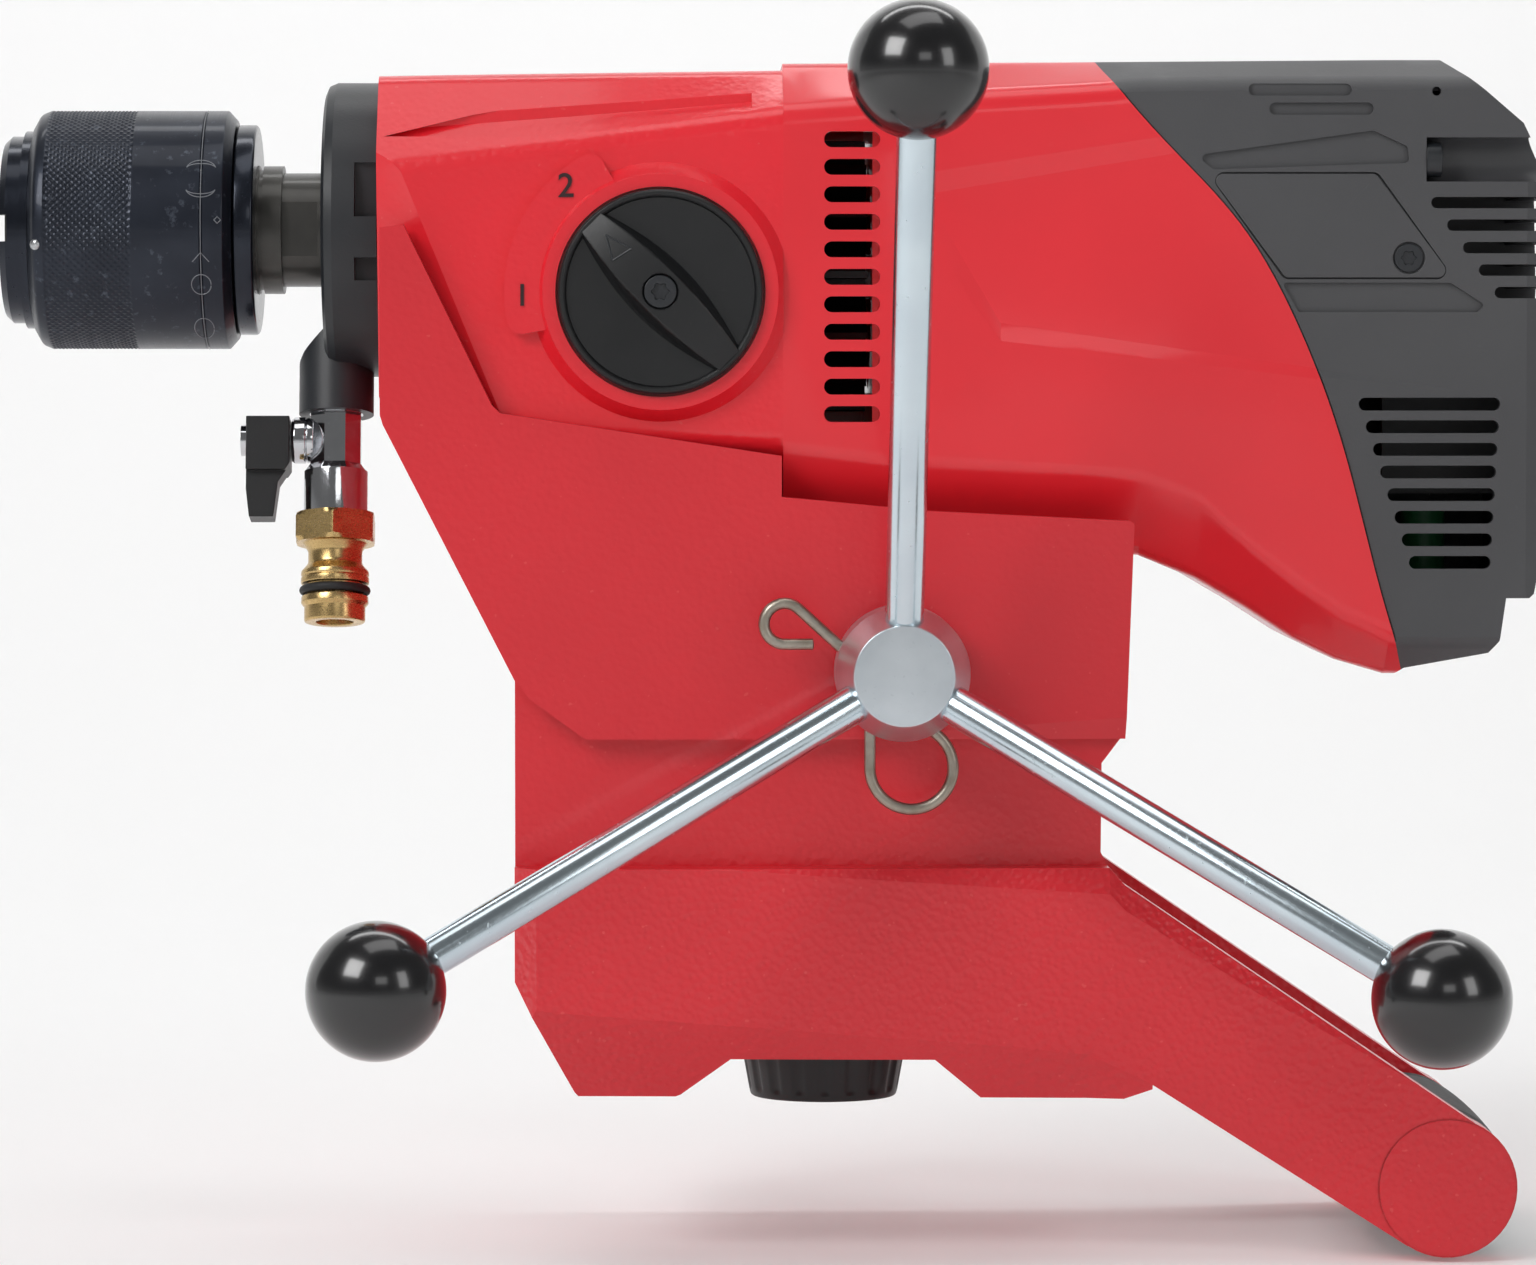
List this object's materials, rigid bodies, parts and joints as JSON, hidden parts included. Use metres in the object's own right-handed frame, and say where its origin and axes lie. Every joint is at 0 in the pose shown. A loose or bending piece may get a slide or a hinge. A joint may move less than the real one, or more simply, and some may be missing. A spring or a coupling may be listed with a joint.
{
  "type": "core drill rig",
  "caption": "Two-speed wet core drill unit on a column carriage, with a three-spoke feed wheel, quick chuck, water valve and carrying handle.",
  "frame": {"origin": "centre of the carriage's column tunnel, on the column's axis", "axes": "+X along the column and the spindle from the chuck to the motor's rear, -Y towards the hand wheel, +Z from the column up to the drill unit"},
  "size_m": [0.4121, 0.2397, 0.3249],
  "materials": {
    "red_paint": "painted gloss",
    "red_housing": "gloss",
    "cap_plastic": "satin",
    "black_plastic": "satin",
    "gloss_black": "polished",
    "blued_steel": "blued",
    "steel": "ground",
    "zinc_steel": "zinc plated",
    "spring_steel": "drawn",
    "chrome": "polished",
    "brass": "turned",
    "rubber": "matte",
    "grip_rubber": "matte",
    "gear_steel": "ground",
    "lamination": "stamped",
    "copper": "turned",
    "winding": "varnished",
    "carbon": "matte",
    "cast_aluminium": "cast",
    "bronze": "sintered",
    "pad_plastic": "matte",
    "board": "matte"
  },
  "bodies": {
    "carriage": {"gearbox_housing": "red_housing", "motor_housing": "red_housing", "rear_cap": "cap_plastic", "brush_covers": "cap_plastic", "cap_screws": "steel", "spindle_bearings": "steel", "countershaft_bearings": "steel", "middle_bearing_plate": "cast_aluminium", "rear_bearing_plate": "cast_aluminium", "shift_rail": "steel", "stator": "lamination", "stator_windings": "winding", "armature_bearings": "steel", "motor_end_bracket": "cast_aluminium", "brush_holders": "copper", "carbon_brushes": "carbon", "switch_module": "black_plastic", "control_board": "board", "cable_gland": "black_plastic", "swivel_clamp_ring": "steel", "carriage_casting": "red_paint", "guide_pads": "pad_plastic", "handle_bar": "steel", "handle_grip": "grip_rubber", "carriage_bolts": "steel", "pinion_bushes": "bronze"},
    "hand_wheel": {"pinion_shaft": "steel", "wheel_hub": "zinc_steel", "wheel_spokes": "zinc_steel", "ball_knobs": "gloss_black", "spring_clip": "spring_steel"},
    "spindle": {"spindle": "steel", "chuck_body": "blued_steel", "chuck_lock_balls": "steel", "chuck_front_ring": "blued_steel", "chuck_rear_ring": "blued_steel", "high_speed_gear": "gear_steel"},
    "chuck_sleeve": {"chuck_sleeve": "blued_steel"},
    "dog_sleeve": {"dog_sleeve": "gear_steel"},
    "low_speed_gear": {"low_speed_gear": "gear_steel"},
    "countershaft": {"countershaft": "gear_steel", "countershaft_gear": "gear_steel"},
    "armature": {"armature_shaft": "gear_steel", "armature_core": "lamination", "commutator": "copper", "cooling_fan": "black_plastic"},
    "selector": {"selector_knob": "black_plastic", "selector_screw": "steel", "selector_shaft": "steel"},
    "shift_fork": {"shift_fork": "bronze"},
    "water_swivel": {"water_swivel": "black_plastic", "valve_body": "chrome", "hose_nipple": "brass", "water_seals": "rubber"},
    "valve_lever": {"valve_ball_and_stem": "chrome", "valve_lever": "black_plastic"},
    "lock_pad": {"lock_pad": "bronze"},
    "lock_screw": {"lock_knob": "black_plastic", "lock_screw": "steel"},
    "power_rocker": {"switch_rocker": "black_plastic"}
  },
  "joints": [
    {"name": "wheel_turn", "type": "hinge", "parent": "carriage", "child": "hand_wheel", "pos_m": [0.0239, 0, 0.05], "axis": [0, -1, 0], "continuous": true},
    {"name": "spindle_turn", "type": "hinge", "parent": "carriage", "child": "spindle", "pos_m": [0, 0, 0.166], "axis": [1, 0, 0], "continuous": true},
    {"name": "chuck_sleeve_turn", "type": "hinge", "parent": "spindle", "child": "chuck_sleeve", "pos_m": [0, 0, 0.166], "axis": [1, 0, 0], "range_deg": [0, 45]},
    {"name": "dog_slide", "type": "slide", "parent": "spindle", "child": "dog_sleeve", "axis": [1, 0, 0], "range_m": [0, 0.0072]},
    {"name": "low_speed_gear_turn", "type": "hinge", "parent": "carriage", "child": "low_speed_gear", "pos_m": [0, 0, 0.166], "axis": [1, 0, 0], "continuous": true},
    {"name": "countershaft_turn", "type": "hinge", "parent": "carriage", "child": "countershaft", "pos_m": [0, 0, 0.1285], "axis": [1, 0, 0], "continuous": true},
    {"name": "armature_turn", "type": "hinge", "parent": "carriage", "child": "armature", "pos_m": [0, 0, 0.1535], "axis": [1, 0, 0], "continuous": true},
    {"name": "selector_turn", "type": "hinge", "parent": "carriage", "child": "selector", "pos_m": [-0.0387, 0, 0.1488], "axis": [0, -1, 0], "range_deg": [0, 46.6]},
    {"name": "fork_slide", "type": "slide", "parent": "carriage", "child": "shift_fork", "axis": [1, 0, 0], "range_m": [0, 0.0072]},
    {"name": "water_swivel_turn", "type": "hinge", "parent": "carriage", "child": "water_swivel", "pos_m": [0, 0, 0.166], "axis": [1, 0, 0], "range_deg": [-78, 102]},
    {"name": "valve_turn", "type": "hinge", "parent": "water_swivel", "child": "valve_lever", "pos_m": [-0.1258, -0.01202, 0.10946], "axis": [-1, 0, 0], "range_deg": [0, 90]},
    {"name": "lock_pad_slide", "type": "slide", "parent": "carriage", "child": "lock_pad", "axis": [0, 0, 1], "range_m": [0, 0.0015]},
    {"name": "lock_knob_turn", "type": "hinge", "parent": "lock_pad", "child": "lock_screw", "pos_m": [0.0051, 0, 0], "axis": [0, 0, 1], "range_deg": [0, 360]},
    {"name": "power_rocker_tilt", "type": "hinge", "parent": "carriage", "child": "power_rocker", "pos_m": [0.162, 0.045, 0.1], "axis": [1, 0, 0], "range_deg": [0, 10]}
  ],
  "couplings": [
    {"joint": "dog_slide", "follows": "selector_turn", "m_per_rad": 0.0087296},
    {"joint": "fork_slide", "follows": "selector_turn", "m_per_rad": 0.0087296},
    {"joint": "low_speed_gear_turn", "follows": "spindle_turn", "ratio": 0.5614},
    {"joint": "countershaft_turn", "follows": "spindle_turn", "ratio": -1.7778},
    {"joint": "armature_turn", "follows": "spindle_turn", "ratio": 8.0988},
    {"joint": "lock_knob_turn", "follows": "lock_pad_slide", "rad_per_m": 4188.8}
  ]
}
